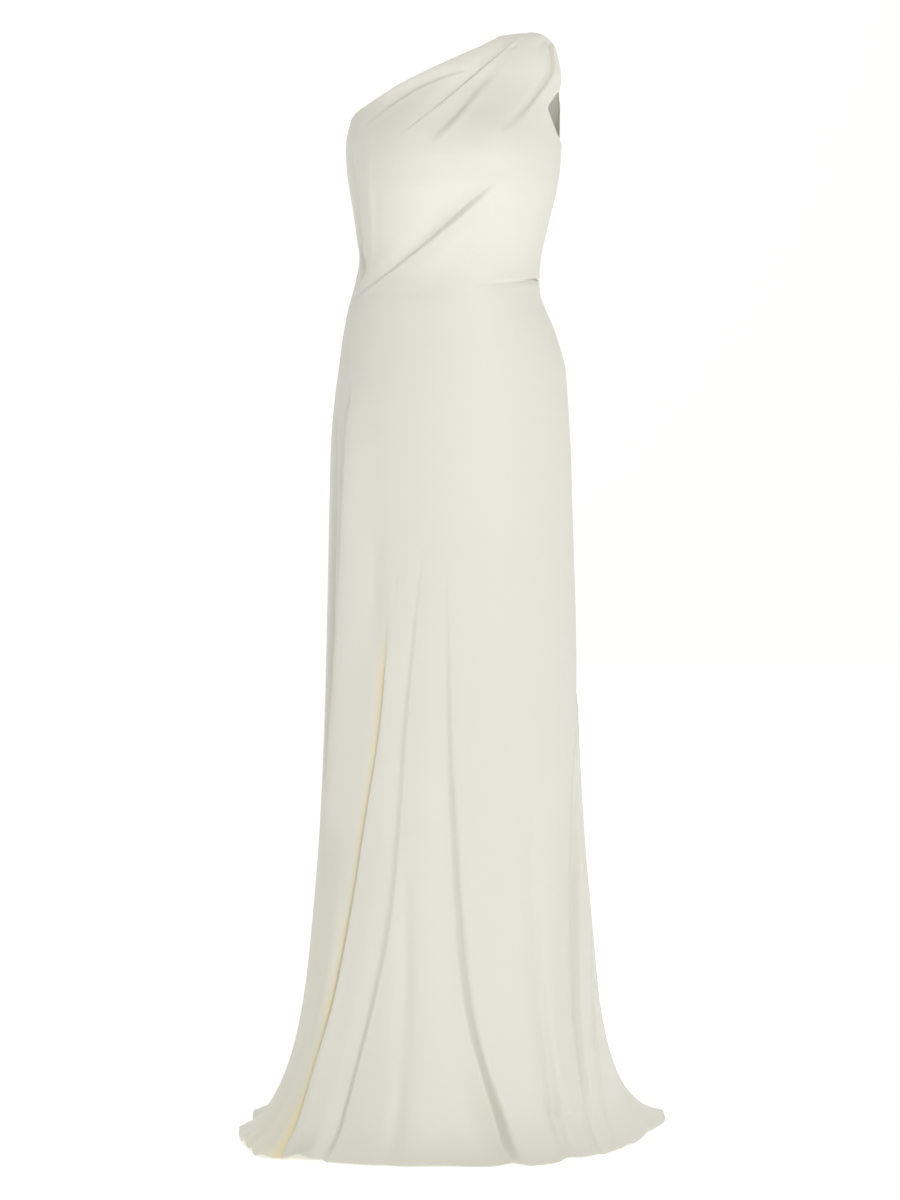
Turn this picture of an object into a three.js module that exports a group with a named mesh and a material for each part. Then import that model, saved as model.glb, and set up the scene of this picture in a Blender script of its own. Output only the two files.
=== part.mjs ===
// A one-shoulder draped satin evening gown, floor length, hollow and filled out to its worn shape.
// Five cut pieces: bodice front, bodice back, skirt front, the side panel set into it and skirt back.
// Each is a thin wall of cloth.
// Heights are in millimetres above the floor. +X is the strap side, -X the bare side, -Y the front.
import * as THREE from "three";

// Driving sizes, in millimetres and degrees.
const WALL = 2; // cloth with its turned edges
const SEAM_GAP = 0.3; // between two pieces along a seam
const STRAP_X = 112; // middle of the shoulder strap
const STRAP_Y = 2;
const SHOULDER_TOP = 1549;
const SHOULDER_H = 1578; // the shoulder seam, measured along the cloth
const WAIST_H = 1183;
const WAIST_TILT = 12; // the waist seam rises to the strap side and falls to the bare side
const BARE_SEAM = -78; // bearings of the side seams, 0 is the front and 90 the strap side
const STRAP_SEAM = 100;
const HIP_SEAM_H = 1082; // the short seam that the side panel hangs from
const OPENING_TOP_H = 732; // where the opening line turns from a seam into a free edge
const UNDERARM_BARE_H = 1428; // where the neckline leaves the side seam
const UNDERARM_STRAP_H = 1384; // where the armhole leaves the side seam
const FULLNESS = 0.035; // how much squarer than an ellipse a section is
const LEVEL_BELOW = 1200; // below this the folds push the cloth in level, never into the floor
const SQUARE_ABOVE = 1300; // above this they push it in square to the figure
const HEM_FELT = 300; // the rows follow the hem's own line up to this height
const FLAT_BY_WAIST = 20; // the cloth's thickness is level within this distance of the waist seam
const BEND_TOP = 400; // the hem's turn outwards is felt up to this height
const FOLD_FADE = 16; // the folds run out this far below the shoulder seam
const SHOULDER_CREST_X = 113; // where the shoulder line is highest
const ARM_DROP = { fall: 24, reach: 37, power: 2.6 }; // how it falls from there towards the arm
const NECK_DROP = { fall: 4, reach: 36, power: 2 }; // and towards the neck
const DROP_FROM = 1440; // the fall is felt above this height, and fully above the next
const DROP_FULLY = 1545;
const FLOOR_BEND_BELOW = 600; // below this the height is that of the bend onto the floor
const GIRTH_RADIUS = 150; // mean radius by which a fold's width is laid round the gown
const HEM_GIRTH_RADIUS = 260; // the same at the hem
const GIRTH_CHANGES_BELOW = 300;
const RUNS_OUT_BELOW = 150; // a fold that ends below this height runs on to the hem
const DEGREE = Math.PI / 180;

// Sections of the form that the cloth is filled out to. h runs along the cloth, z is the height, bare and strap
// are the half widths, front and back the depths from the middle line, middle is that line's place.
const SECTION_COLUMNS = ["h", "z", "bare", "strap", "front", "middle", "back"];
const SECTIONS = [
  [-300, -300, 208, 236, 212, 64, 172],
  [0, 0, 205, 232, 206, 60, 168],
  [100, 100, 200, 222, 190, 48, 152],
  [200, 200, 194, 205.5, 173, 34, 140],
  [300, 300, 188, 197, 160, 22, 130],
  [433, 433, 181, 187.5, 147, 12, 124],
  [600, 600, 175.5, 179.5, 135, 5, 124],
  [740, 740, 172, 176, 127, 2, 128],
  [880, 880, 169, 171.5, 119, 0, 134],
  [965, 965, 167, 169, 115, 0, 134],
  [1035, 1035, 161.5, 165, 110, 0, 126],
  [1077, 1077, 156, 162, 106, 0, 116],
  [1105, 1105, 152.5, 155, 103, 0, 108],
  [1133, 1133, 148, 146, 99, 0, 99],
  [1161, 1161, 142.5, 134, 95, 0, 90],
  [1183, 1183, 136.5, 126.5, 92, 0, 84],
  [1203, 1203, 131.5, 125, 90, 0, 80],
  [1231, 1231, 127, 127, 93, 0, 80],
  [1265, 1265, 131, 134, 102, 0, 83],
  [1300, 1300, 136, 142.5, 115, 0, 88],
  [1330, 1330, 141, 150, 124, 0, 92],
  [1357, 1357, 144.5, 154, 125, 0, 95],
  [1385, 1385, 146, 156, 119, 0, 95],
  [1410, 1410, 142.5, 158, 108, 0, 93],
  [1441, 1441, 135, 162, 90, 0, 87],
  [1470, 1470, 150, 168, 73, 0, 76],
  [1500, 1500, 165, 172, 58, 0, 60],
  [1530, 1527, 172, 172, 41, 1, 42],
  [1550, 1541, 172, 172, 27, 2, 27],
  [1566, 1547.5, 172, 172, 12, 2, 12],
  [1574, 1549, 172, 172, 4.2, 2, 4.2],
  [1578, 1549, 172, 172, 0.25, 2, 0.25],
];

// How the cloth meets the floor. softness sets how wide it turns outwards, end is where it is cut,
// measured along the cloth: a negative end lies on the floor as a puddle or a short train.
const HEM_COLUMNS = ["bearing", "softness", "end"];
const HEM = [
  [-180, 40, -130],
  [-135, 42, -70],
  [-105, 42, -12],
  [-92, 42, 2],
  [-80, 36, 10],
  [-65, 40, 10],
  [-53, 47, 8],
  [-43, 34, 6],
  [-30, 27, 0],
  [-14, 22, -8],
  [0, 18, -10],
  [13, 20, -22],
  [25, 18, -20],
  [35, 18, -6],
  [55, 14, 0],
  [75, 17, 0],
  [90, 22, -4],
  [110, 34, -18],
  [131, 44, -36],
  [150, 44, -80],
  [180, 40, -130],
];

// The opening line, from the hem up to the hip seam. x is its place, recess is how far the side panel
// lies behind the front, underlap how many degrees it runs on under it, and lift how far the front's
// edge rolls out. Above the thigh, where the last three are 0, the line is a seam.
const OPENING_COLUMNS = ["h", "x", "recess", "underlap", "lift"];
const OPENING = [
  [-40, -236, 8, 6, 8],
  [25, -222, 9, 6, 8],
  [58, -209, 14, 6, 8],
  [96, -197, 18, 6, 8],
  [136, -185, 21, 6, 7],
  [229, -156, 22, 6, 6],
  [349, -131, 19, 6, 5],
  [454, -115, 17, 6, 4],
  [577, -96, 14, 5, 3],
  [640, -90, 12, 4, 3],
  [706, -86, 5, 0, 2],
  [OPENING_TOP_H, -86, 0, 0, 0],
  [900, -98, 0, 0, 0],
  [1082, -111, 0, 0, 0],
  [1200, -117, 0, 0, 0],
];

// The free edges of the bodice: x of the edge at each height along the cloth.
const NECKLINE = [
  [1441, -114],
  [1455, -89],
  [1470, -64],
  [1485, -33],
  [1500, -3],
  [1515, 24],
  [1530, 48],
  [1550, 66],
  [1578, 77],
];
const ARMHOLE_FRONT = [
  [1390, 154.5],
  [1398, 150],
  [1408, 145],
  [1420, 140],
  [1434, 136],
  [1450, 144],
  [1469, 153],
  [1500, 155],
  [1530, 154],
  [1550, 149],
  [1578, 143],
];
const NECKLINE_BACK = [
  [1441, -104],
  [1455, -78],
  [1470, -52],
  [1485, -24],
  [1500, 4],
  [1515, 29],
  [1530, 51],
  [1550, 67],
  [1578, 77],
];
const ARMHOLE_BACK = [
  [1400, 155],
  [1441, 156],
  [1470, 155],
  [1500, 154],
  [1530, 153],
  [1550, 149],
  [1578, 143],
];

// Folds, one row each: four points that the fold passes, as x across the view and h along the cloth,
// then its depth and half width at the first and the last point, and its lean, over 1 when the bare
// side slopes gently and the strap side steeply. A negative depth is a ridge.
const FOLD_COLUMNS = [
  "name", "x0", "h0", "x1", "h1", "x2", "h2", "x3", "h3", "depth0", "depth3", "width0", "width3", "lean",
];
const FRONT_FOLDS = [
  ["neck_pleat", 112, 1570, 65, 1512, 7, 1455, -57, 1394, 7, 3, 8, 9, 0.7],
  ["neck_crease", 26, 1489, -20, 1471, -60, 1448, -106, 1415, 1, 4, 8, 8, 1],
  ["bust_trough", 66, 1488, 40, 1455, 10, 1415, -23, 1376, 4, 6, 12, 13, 1],
  ["arm_drape", 143, 1556, 139, 1484, 110, 1439, 80, 1400, 7, 4, 9, 13, 0.8],
  ["shoulder_gather", 140, 1560, 132, 1545, 126, 1532, 121, 1520, 4, 1, 6, 7, 1],
  ["waist_drape", -136, 1172, -78, 1211, 0, 1270, 62, 1326, 9, 4, 10, 16, 1.5],
  ["waist_pinch", 128, 1206, 105, 1199, 80, 1194, 42, 1189, 9, 1, 7, 8, 1],
  ["side_turn", -137, 1372, -131, 1320, -126, 1260, -122, 1215, 3, 6, 12, 12, 1],
  ["bust_bare_side", -62, 1385, -62, 1370, -60, 1345, -56, 1320, -6, -6, 48, 48, 1],
  ["bust_strap_side", 76, 1380, 76, 1365, 74, 1345, 70, 1320, -6, -6, 48, 48, 1],
  ["hip_groove", -155, 1000, -159, 860, -163, 700, -172, 520, 3, 7, 12, 16, 1],
  ["hip_ridge", -136, 1000, -140, 860, -146, 700, -165, 470, -2, -5, 12, 16, 1],
  ["thigh_dip", -103, 850, -103, 800, -104, 750, -105, 690, 2, 3, 10, 12, 1],
  ["left_fold", -38, 810, -60, 600, -86, 310, -152, 50, 2, 62, 8, 24, 0.9],
  ["middle_dip", -64, 410, -61, 340, -61, 240, -70, 130, 2, 12, 12, 15, 1],
  ["main_fold", -4, 750, 3, 500, 27, 205, 84, 20, 4, 38, 9, 26, 1.6],
  ["right_dip", 112, 580, 111, 420, 127, 235, 150, 60, 2, 20, 14, 20, 1],
  ["strap_ridge", 172, 560, 175, 400, 178, 250, 190, 60, -2, -8, 14, 18, 1],
];
// The same table as seen through the gown from the front, for the folds of the back.
const BACK_FOLDS = [
  ["back_pleat", 112, 1570, 70, 1512, 20, 1450, -40, 1380, 5, 2, 8, 10, 1],
  ["back_pleat_low", 138, 1560, 128, 1490, 100, 1420, 60, 1350, 5, 2, 9, 12, 1],
  ["back_drape", -134, 1176, -80, 1215, -10, 1262, 50, 1305, 6, 3, 10, 14, 1.3],
  ["back_waist_pinch", 126, 1204, 105, 1199, 80, 1194, 48, 1190, 6, 1, 7, 8, 1],
  ["strap_hollow", 176, 560, 180, 400, 188, 200, 215, 20, 3, 26, 14, 26, 1],
  ["strap_hollow_low", 168, 300, 172, 220, 190, 100, 222, -40, 3, 14, 10, 18, 1],
  ["train_fold_1", 96, 700, 104, 500, 120, 240, 160, -60, 2, 34, 12, 32, 1.2],
  ["train_fold_2", 36, 640, 38, 460, 44, 220, 64, -100, 2, 40, 12, 34, 1],
  ["train_fold_3", -28, 720, -30, 500, -36, 220, -50, -100, 3, 42, 12, 34, 0.9],
  ["train_fold_4", -92, 660, -98, 460, -114, 220, -150, -60, 2, 36, 12, 32, 0.8],
  ["bare_hollow", -152, 600, -160, 420, -180, 220, -232, 10, 2, 26, 14, 28, 1],
];

// Heights of the skirt's rows along the cloth, from the hem to the hip seam.
const SKIRT_ROWS = [
  0, 14, 32, 56, 88, 126, 172, 228, 296, 374, 462, 558, 640, 706, OPENING_TOP_H, 812, 896, 985,
  HIP_SEAM_H,
];
const HIP_ROW = SKIRT_ROWS.length - 1;
const YOKE_ROWS = 4; // from the hip seam to the waist seam

// The folds that the columns of a piece run along, and how many columns lie before each of them and
// before the last edge. The skirt front's first columns lie before its opening line.
const COLUMNS = {
  bodice_front: { along: ["neck_pleat"], counts: [13, 13] },
  bodice_back: { along: ["back_pleat"], counts: [8, 8] },
  skirt_front: { along: ["left_fold", "main_fold", "right_dip"], counts: [6, 11, 14, 13, 12] },
  skirt_back: {
    along: ["train_fold_1", "train_fold_2", "train_fold_3", "train_fold_4", "bare_hollow"],
    counts: [9, 6, 6, 6, 6, 6],
  },
};
const OPENING_COLUMN = COLUMNS.skirt_front.counts[0]; // the column that is the opening line
const CLUSTER = 0.08; // how much closer the columns lie beside the folds
const LINES_FROM = 1250; // on the bodice the columns turn to the folds above this height
const LINES_TO = 1400;

const total = (counts) => counts.reduce((sum, count) => sum + count, 0);

// How finely each piece is divided: around and up. Pieces that share a seam share their rows.
const BODICE_ROWS = 33;
const GRID = {
  bodice_front: { around: total(COLUMNS.bodice_front.counts), up: BODICE_ROWS },
  bodice_back: { around: total(COLUMNS.bodice_back.counts), up: BODICE_ROWS },
  skirt_front: { around: total(COLUMNS.skirt_front.counts), up: HIP_ROW + YOKE_ROWS },
  skirt_side_front: { around: 11, up: HIP_ROW },
  skirt_back: { around: total(COLUMNS.skirt_back.counts), up: HIP_ROW + YOKE_ROWS },
};

// The pearl ivory of the satin.
const SATIN = { color: 0xe9e8dc, roughness: 0.42, metalness: 0 };

// A smooth curve through the points, which doesn't overshoot between them. keys run upwards.
function curveThrough(keys, values) {
  const last = keys.length - 1;
  const rise = keys.slice(1).map((k, i) => (values[i + 1] - values[i]) / (k - keys[i]));
  const slope = keys.map((k, i) => {
    if (i === 0) return rise[0];
    if (i === last) return rise[last - 1];
    return rise[i - 1] * rise[i] <= 0 ? 0 : (2 * rise[i - 1] * rise[i]) / (rise[i - 1] + rise[i]);
  });
  return (key) => {
    const k = Math.min(Math.max(key, keys[0]), keys[last]);
    let i = 0;
    while (i < last - 1 && k > keys[i + 1]) i++;
    const span = keys[i + 1] - keys[i];
    const t = (k - keys[i]) / span;
    const rest = (1 - t) * (1 - t);
    const start = (1 + 2 * t) * rest * values[i] + t * rest * span * slope[i];
    return start + t * t * (3 - 2 * t) * values[i + 1] + t * t * (t - 1) * span * slope[i + 1];
  };
}

// One curve for each named column of a table, against its first column.
function columnCurves(names, rows) {
  const keys = rows.map((row) => row[0]);
  const made = {};
  names.slice(1).forEach((name, i) => {
    made[name] = curveThrough(keys, rows.map((row) => row[i + 1]));
  });
  return made;
}

const section = columnCurves(SECTION_COLUMNS, SECTIONS);
const hem = columnCurves(HEM_COLUMNS, HEM);
const opening = columnCurves(OPENING_COLUMNS, OPENING);

// 0 below low, 1 above high, and a smooth step between.
function step(low, high, value) {
  const t = Math.min(Math.max((value - low) / (high - low), 0), 1);
  return t * t * (3 - 2 * t);
}

// The bearing folded into -180 to 180 degrees.
const wrapped = (bearing) => bearing - 360 * Math.round(bearing / 360);

// How far the shoulder line falls away from its crest towards the arm and the neck.
function shoulderDrop(x) {
  const past = x - SHOULDER_CREST_X;
  const toArm = ARM_DROP.fall * Math.pow(Math.max(past, 0) / ARM_DROP.reach, ARM_DROP.power);
  const near = Math.min(Math.max(-past, 0) / NECK_DROP.reach, 1);
  return toArm + NECK_DROP.fall * Math.pow(near, NECK_DROP.power);
}

// A point of the plain cloth, before its folds. Near the floor it turns outwards from the vertical by an
// angle whose cosine is 1 / (1 + exp(-h / softness)), which gives its height and its run in closed form.
function plainPoint(bearing, h) {
  const at = wrapped(bearing);
  const softness = hem.softness(at);
  const lean = Math.acos(1 / (1 + Math.exp(-h / softness)));
  const run = softness * (lean + Math.log((1 + Math.sin(lean)) / Math.cos(lean)));
  const fallTo = (k) => softness * Math.log(1 + Math.exp(k / softness));
  const settle = fallTo(hem.end(at)) * (1 - step(0, BEND_TOP, h));
  const sine = Math.sin(at * DEGREE);
  const cosine = Math.cos(at * DEGREE);
  const full = 1 + FULLNESS * Math.pow(2 * sine * cosine, 2);
  const width = (sine > 0 ? section.strap(h) : section.bare(h)) + run;
  const depth = (cosine > 0 ? section.front(h) : section.back(h)) + run;
  const x = width * sine * full;
  const y = section.middle(h) - depth * cosine * full;
  const upper = section.z(h) - shoulderDrop(x) * step(DROP_FROM, DROP_FULLY, h);
  if (h > FLOOR_BEND_BELOW) return new THREE.Vector3(x, y, upper);
  return new THREE.Vector3(x, y, fallTo(h) - settle + WALL * (1 - step(0, BEND_TOP, h)));
}

// The bearing at which the plain cloth has this x, on the front or on the back.
function bearingAt(x, h, onBack) {
  let low = -90;
  let high = 90;
  for (let i = 0; i < 30; i++) {
    const middle = (low + high) / 2;
    const bearing = onBack ? 180 - middle : middle;
    if (plainPoint(bearing, h).x < x) low = middle;
    else high = middle;
  }
  const found = (low + high) / 2;
  return onBack ? 180 - found : found;
}

// A fold row as a chain of short steps: bearing, h, depth and half width at each.
const FOLD_STEPS = 18;
function foldPath(row, onBack) {
  const fold = Object.fromEntries(FOLD_COLUMNS.map((name, i) => [name, row[i]]));
  const corner = (i) => new THREE.Vector3(fold["x" + i], fold["h" + i], 0);
  const path = new THREE.CatmullRomCurve3([0, 1, 2, 3].map(corner));
  return {
    name: fold.name,
    lean: fold.lean,
    steps: path.getPoints(FOLD_STEPS).map((p, i) => ({
      bearing: bearingAt(p.x, p.y, onBack),
      h: p.y,
      depth: fold.depth0 + (fold.depth3 - fold.depth0) * (i / FOLD_STEPS),
      width: fold.width0 + (fold.width3 - fold.width0) * (i / FOLD_STEPS),
    })),
  };
}
const folds = [
  ...FRONT_FOLDS.map((row) => foldPath(row, false)),
  ...BACK_FOLDS.map((row) => foldPath(row, true)),
];

// A fold's bearing at each height.
function foldLine(name) {
  const fold = folds.find((one) => one.name === name);
  const rising = [...fold.steps].sort((a, b) => a.h - b.h);
  return curveThrough(rising.map((place) => place.h), rising.map((place) => place.bearing));
}

// How far the folds push the cloth in at a place: each is a soft trough beside its own path.
function foldDepth(bearing, h) {
  const flare = 1 - step(0, GIRTH_CHANGES_BELOW, h);
  const girth = DEGREE * (GIRTH_RADIUS + (HEM_GIRTH_RADIUS - GIRTH_RADIUS) * flare);
  let depth = 0;
  for (const fold of folds) {
    let nearest = Infinity;
    let push = 0;
    for (let i = 0; i < fold.steps.length - 1; i++) {
      const a = fold.steps[i];
      const b = fold.steps[i + 1];
      const across = wrapped(b.bearing - a.bearing) * girth;
      const along = b.h - a.h;
      const pointAcross = wrapped(bearing - a.bearing) * girth;
      const pointAlong = h - a.h;
      const length2 = across * across + along * along;
      const runsOut = i === fold.steps.length - 2 && b.h < RUNS_OUT_BELOW;
      const share = Math.max((pointAcross * across + pointAlong * along) / length2, 0);
      const t = runsOut ? share : Math.min(share, 1);
      const dx = pointAcross - across * t;
      const dh = pointAlong - along * t;
      const distance2 = dx * dx + dh * dh;
      if (distance2 < nearest) {
        nearest = distance2;
        const s = Math.min(t, 1);
        const half = a.width + (b.width - a.width) * s;
        const side = dx > 0 ? half / fold.lean : half * fold.lean;
        push = (a.depth + (b.depth - a.depth) * s) * Math.exp(-distance2 / (side * side));
      }
    }
    depth += push;
  }
  return depth * (1 - step(SHOULDER_H - FOLD_FADE, SHOULDER_H, h));
}

// The normal of a surface function at a place, from small steps both ways. It points out of the gown.
const STEP_BEARING = 0.2;
const STEP_H = 1;
function normalOf(surface, bearing, h) {
  const around = surface(bearing + STEP_BEARING, h).sub(surface(bearing - STEP_BEARING, h));
  const up = surface(bearing, h + STEP_H).sub(surface(bearing, h - STEP_H));
  return around.cross(up).normalize();
}

// The outside of the cloth, folds and all, pushed in further by a piece's own shape.
function clothSurface(ownDepth) {
  return (bearing, h) => {
    const out = normalOf(plainPoint, bearing, h);
    out.setZ(out.z * step(LEVEL_BELOW, SQUARE_ABOVE, h)).normalize();
    return plainPoint(bearing, h).addScaledVector(out, -foldDepth(bearing, h) - ownDepth(bearing, h));
  };
}

// The height of the waist seam at a bearing.
const waistSeam = (bearing) => WAIST_H + WAIST_TILT * Math.sin(bearing * DEGREE);

// A wall of cloth over a grid of places: the outside, the inside one wall inwards, and a face along
// every open edge. Cells that the piece leaves out are missed.
function clothWall({ grid, place, surface, covers }) {
  const outside = [];
  const inside = [];
  for (let j = 0; j <= grid.up; j++) {
    for (let i = 0; i <= grid.around; i++) {
      const [bearing, h] = place(i, j);
      const point = surface(bearing, h);
      outside.push(point);
      const out = normalOf(surface, bearing, h);
      out.z *= Math.min(Math.abs(h - waistSeam(bearing)) / FLAT_BY_WAIST, 1);
      inside.push(point.clone().addScaledVector(out.normalize(), -WALL));
    }
  }
  const within = outside.length;
  const corner = (i, j) => j * (grid.around + 1) + i;
  const used = (i, j) => i >= 0 && j >= 0 && i < grid.around && j < grid.up && covers(i, j);
  const faces = [];
  const quad = (a, b, c, d) => faces.push(a, b, c, a, c, d);
  const edge = (a, b) => quad(b, a, a + within, b + within);
  const edgeBack = (a, b) => quad(a, a + within, b + within, b); // split the way its neighbour's is
  for (let j = 0; j < grid.up; j++) {
    for (let i = 0; i < grid.around; i++) {
      if (!used(i, j)) continue;
      const [a, b, c, d] = [corner(i, j), corner(i + 1, j), corner(i + 1, j + 1), corner(i, j + 1)];
      quad(a, b, c, d);
      quad(a + within, d + within, c + within, b + within);
      if (!used(i, j - 1)) edge(a, b);
      if (!used(i + 1, j)) edge(b, c);
      if (!used(i, j + 1)) edge(c, d);
      if (!used(i - 1, j)) edgeBack(d, a);
    }
  }
  const geometry = new THREE.BufferGeometry().setFromPoints([...outside, ...inside]);
  geometry.setIndex(faces);
  geometry.computeVertexNormals();
  return geometry;
}

// The bearing that spans half the seam gap at a place on a seam.
function halfGap(bearing, h) {
  const oneDegree = plainPoint(bearing + 0.5, h).distanceTo(plainPoint(bearing - 0.5, h));
  return SEAM_GAP / 2 / oneDegree;
}

const openingBearing = (h) => bearingAt(opening.x(h), h, false);

// A bodice edge: the side seam up to the underarm, then a free edge that starts from it.
function bodiceEdge(seamBearing, seamTop, edgePoints, onBack) {
  const rows = edgePoints.map(([h, x]) => [h, bearingAt(x, h, onBack)]);
  const keys = [0, seamTop, ...rows.map((row) => row[0])];
  return curveThrough(keys, [seamBearing, seamBearing, ...rows.map((row) => row[1])]);
}

// The bearing of column i, where counts gives the columns between each two of the bearings in lines.
function columnBearing(lines, counts, i) {
  let k = 0;
  let passed = 0;
  while (i > passed + counts[k]) passed += counts[k++];
  const t = (i - passed) / counts[k];
  return lines[k] + (lines[k + 1] - lines[k]) * (t - CLUSTER * Math.sin(2 * Math.PI * t));
}

// The grid of a bodice piece: rows from the waist seam, which they follow at first, to the shoulder.
function bodicePlace({ along, counts }, fromEdge, toEdge) {
  const pleat = foldLine(along[0]);
  return (i, j) => {
    const v = j / BODICE_ROWS;
    const level = WAIST_H + (SHOULDER_H - WAIST_H) * v;
    const from = fromEdge(level) + halfGap(fromEdge(level), level);
    const to = toEdge(level) - halfGap(toEdge(level), level);
    const even = (from + to) / 2;
    const line = even + (pleat(level) - even) * step(LINES_FROM, LINES_TO, level);
    const bearing = columnBearing([from, line, to], counts, i);
    const seam = waistSeam(bearing) + SEAM_GAP / 2 - WAIST_H;
    return [bearing, level + seam * (1 - v) * (1 - v)];
  };
}

// The height of a skirt row at a bearing. The lowest rows follow the hem, and those above the hip seam
// follow the waist seam. side is +1 or -1 for the row above or below half a seam gap at the hip seam.
function rowHeight(j, bearing, side) {
  const hip = HIP_SEAM_H + (side * SEAM_GAP) / 2;
  if (j > HIP_ROW) {
    const top = waistSeam(bearing) - SEAM_GAP / 2;
    return hip + (top - hip) * ((j - HIP_ROW) / YOKE_ROWS);
  }
  if (j === HIP_ROW) return hip;
  const level = SKIRT_ROWS[j];
  return level + hem.end(wrapped(bearing)) * (1 - step(0, HEM_FELT, level));
}

// The bearing of the opening line on a row, where the row's own height depends on it.
function openingOnRow(j, side) {
  const guess = openingBearing(rowHeight(j, BARE_SEAM, side));
  return openingBearing(rowHeight(j, guess, side));
}

// A side seam's bearing on a row, moved by half the gap towards the piece that way gives.
function seamOnRow(seam, j, way) {
  return seam + way * halfGap(seam, rowHeight(j, seam, way));
}

// The skirt back, from the strap side round to the bare side.
const backLines = COLUMNS.skirt_back.along.map(foldLine);
function skirtBackPlace(i, j) {
  const h = rowHeight(j, 180, 1);
  const lines = [seamOnRow(STRAP_SEAM, j, 1), ...backLines.map((line) => line(h))];
  lines.push(seamOnRow(BARE_SEAM + 360, j, -1));
  const bearing = columnBearing(lines, COLUMNS.skirt_back.counts, i);
  return [bearing, rowHeight(j, bearing, 1)];
}

// The skirt front. Its columns left of the opening line stop at the hip seam.
const frontLines = COLUMNS.skirt_front.along.map(foldLine);
function skirtFrontPlace(i, j) {
  const line = openingOnRow(j, 1);
  const edge = line + halfGap(line, rowHeight(j, line, 1));
  const h = rowHeight(j, 0, 1);
  const lines = [seamOnRow(BARE_SEAM, j, 1), edge, ...frontLines.map((fold) => fold(h))];
  lines.push(seamOnRow(STRAP_SEAM, j, -1));
  const bearing = columnBearing(lines, COLUMNS.skirt_front.counts, i);
  return [bearing, rowHeight(j, bearing, 1)];
}

// The side panel, from the side seam to the opening line and on under the front.
function skirtSidePlace(i, j) {
  const line = openingOnRow(j, -1);
  const h = rowHeight(j, line, -1);
  const edge = line - halfGap(line, h) + opening.underlap(h);
  const bare = seamOnRow(BARE_SEAM, j, 1);
  const bearing = bare + (edge - bare) * (i / GRID.skirt_side_front.around);
  return [bearing, rowHeight(j, bearing, -1)];
}

// How far a piece's own shape pushes it in beside the opening line.
const RECESS_WIDTH = 42;
const ROLL_WIDTH = 12;
// Millimetres round the gown from the opening line.
function fromOpening(bearing, h) {
  return (bearing - openingBearing(h)) * DEGREE * section.front(h);
}
function sideRecess(bearing, h) {
  const away = Math.max(-fromOpening(bearing, h), 0) / RECESS_WIDTH;
  return opening.recess(h) * Math.exp(-away * away);
}
function frontRoll(bearing, h) {
  const away = Math.max(fromOpening(bearing, h), 0) / ROLL_WIDTH;
  return -opening.lift(h) * Math.exp(-away * away);
}
const noShape = () => 0;
const everywhere = () => true;

const bareFront = bodiceEdge(BARE_SEAM, UNDERARM_BARE_H, NECKLINE, false);
const strapFront = bodiceEdge(STRAP_SEAM, UNDERARM_STRAP_H, ARMHOLE_FRONT, false);
const strapBack = bodiceEdge(STRAP_SEAM, UNDERARM_STRAP_H, ARMHOLE_BACK, true);
const bareBack = bodiceEdge(BARE_SEAM + 360, UNDERARM_BARE_H, NECKLINE_BACK, true);

const PIECES = {
  bodice_front: {
    place: bodicePlace(COLUMNS.bodice_front, bareFront, strapFront),
    surface: clothSurface(noShape),
    covers: everywhere,
  },
  bodice_back: {
    place: bodicePlace(COLUMNS.bodice_back, strapBack, bareBack),
    surface: clothSurface(noShape),
    covers: everywhere,
  },
  skirt_front: {
    place: skirtFrontPlace,
    surface: clothSurface(frontRoll),
    covers: (i, j) => i >= OPENING_COLUMN || j >= HIP_ROW,
  },
  skirt_side_front: {
    place: skirtSidePlace,
    surface: clothSurface(sideRecess),
    covers: everywhere,
  },
  skirt_back: {
    place: skirtBackPlace,
    surface: clothSurface(noShape),
    covers: everywhere,
  },
};

// The gown, moved so that the origin is under the strap, where the shoulder holds it.
const gown = new THREE.Group();
for (const [name, shape] of Object.entries(PIECES)) {
  const material = new THREE.MeshStandardMaterial(SATIN);
  const piece = new THREE.Mesh(clothWall({ grid: GRID[name], ...shape }), material);
  piece.name = name;
  piece.position.set(-STRAP_X, -STRAP_Y, WALL - SHOULDER_TOP);
  gown.add(piece);
}

export default gown;
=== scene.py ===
# %% [markdown]
# # A one-shoulder satin gown
# The gown is heavy, soft satin in ivory, cut in five pieces. It holds the shape that it has when it is
# worn. The imported model gives the five pieces as plain walls. This script lays a thin, finely folded
# cloth on the form of each wall and gives it the satin's finish.

# %% The imported model
import math

import bpy
import numpy as np
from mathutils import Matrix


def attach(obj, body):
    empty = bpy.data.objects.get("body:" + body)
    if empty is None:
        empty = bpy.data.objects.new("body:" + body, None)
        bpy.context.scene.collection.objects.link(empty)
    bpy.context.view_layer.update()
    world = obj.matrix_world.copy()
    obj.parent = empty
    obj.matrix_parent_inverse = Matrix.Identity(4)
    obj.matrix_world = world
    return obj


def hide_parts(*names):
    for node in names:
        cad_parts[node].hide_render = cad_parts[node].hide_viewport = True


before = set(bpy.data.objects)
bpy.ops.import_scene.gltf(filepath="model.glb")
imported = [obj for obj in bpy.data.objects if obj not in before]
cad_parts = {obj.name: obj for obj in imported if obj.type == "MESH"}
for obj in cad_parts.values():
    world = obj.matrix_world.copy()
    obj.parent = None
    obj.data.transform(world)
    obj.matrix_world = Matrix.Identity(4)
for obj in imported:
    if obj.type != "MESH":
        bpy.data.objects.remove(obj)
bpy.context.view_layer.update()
print("nodes:", sorted(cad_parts))

# %% [markdown]
# ## Sizes
# The tables are in millimetres, with the height above the floor, as a dressmaker would measure the gown
# on its stand. The model's origin is under the strap, where the shoulder holds the gown, so each point is
# moved there and turned into metres when it goes into a mesh. A place on the cloth is a bearing, with 0 at
# the front and 90 on the strap side, and a height h along the cloth.

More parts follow.
